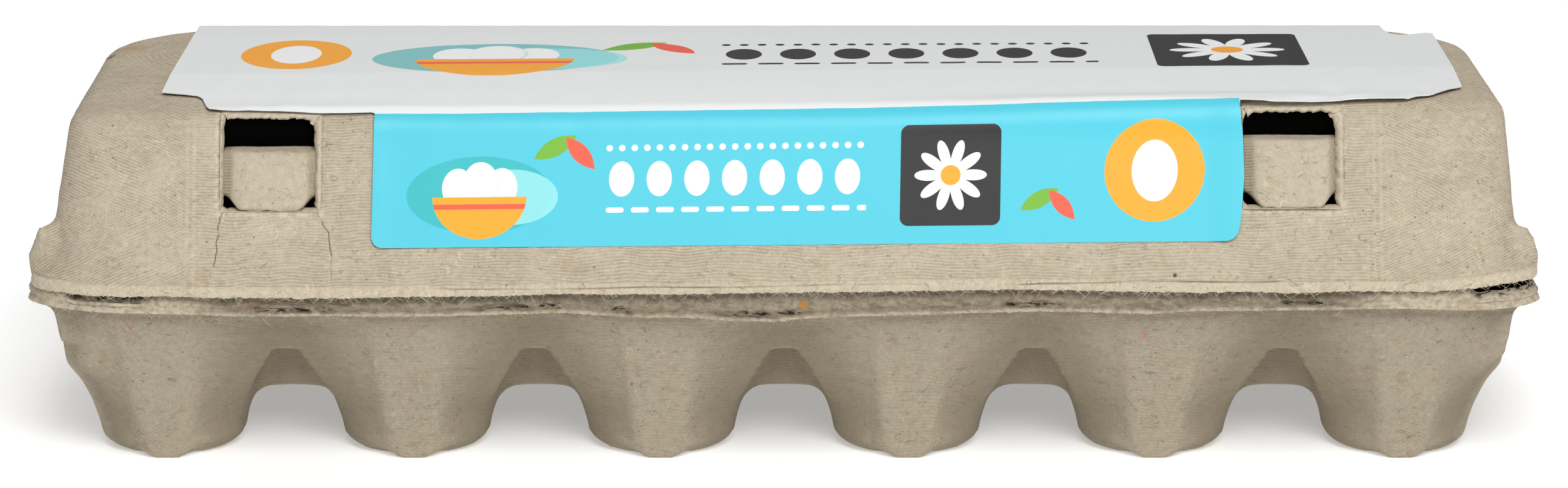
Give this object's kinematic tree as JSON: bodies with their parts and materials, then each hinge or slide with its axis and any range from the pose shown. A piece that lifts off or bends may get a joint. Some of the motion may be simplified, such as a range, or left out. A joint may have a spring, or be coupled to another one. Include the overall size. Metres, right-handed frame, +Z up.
{
  "type": "egg carton",
  "caption": "Shut moulded-pulp egg carton with a ribbed cup tray, a latched hinged lid and a printed paper label over its top and front.",
  "frame": {"origin": "on the floor under the middle of the carton, at the bottom centre of its bounding box", "axes": "+X along the length of the carton, towards its right end; -Y towards the front with the latches; +Z up"},
  "size_m": [0.2918, 0.1076, 0.0737],
  "materials": {
    "tray": "rough felt-like moulded pulp",
    "lid": "moulded pulp with the imprint of a wire mesh",
    "latch_knob": "moulded pulp with the imprint of a wire mesh",
    "hinge": "creased moulded pulp",
    "label": "coated printed paper, slightly glossy"
  },
  "bodies": {
    "root": {"tray": "tray", "lid": "lid", "latch_knob_left": "latch_knob", "latch_knob_right": "latch_knob", "hinge": "hinge", "label": "label"}
  },
  "joints": []
}
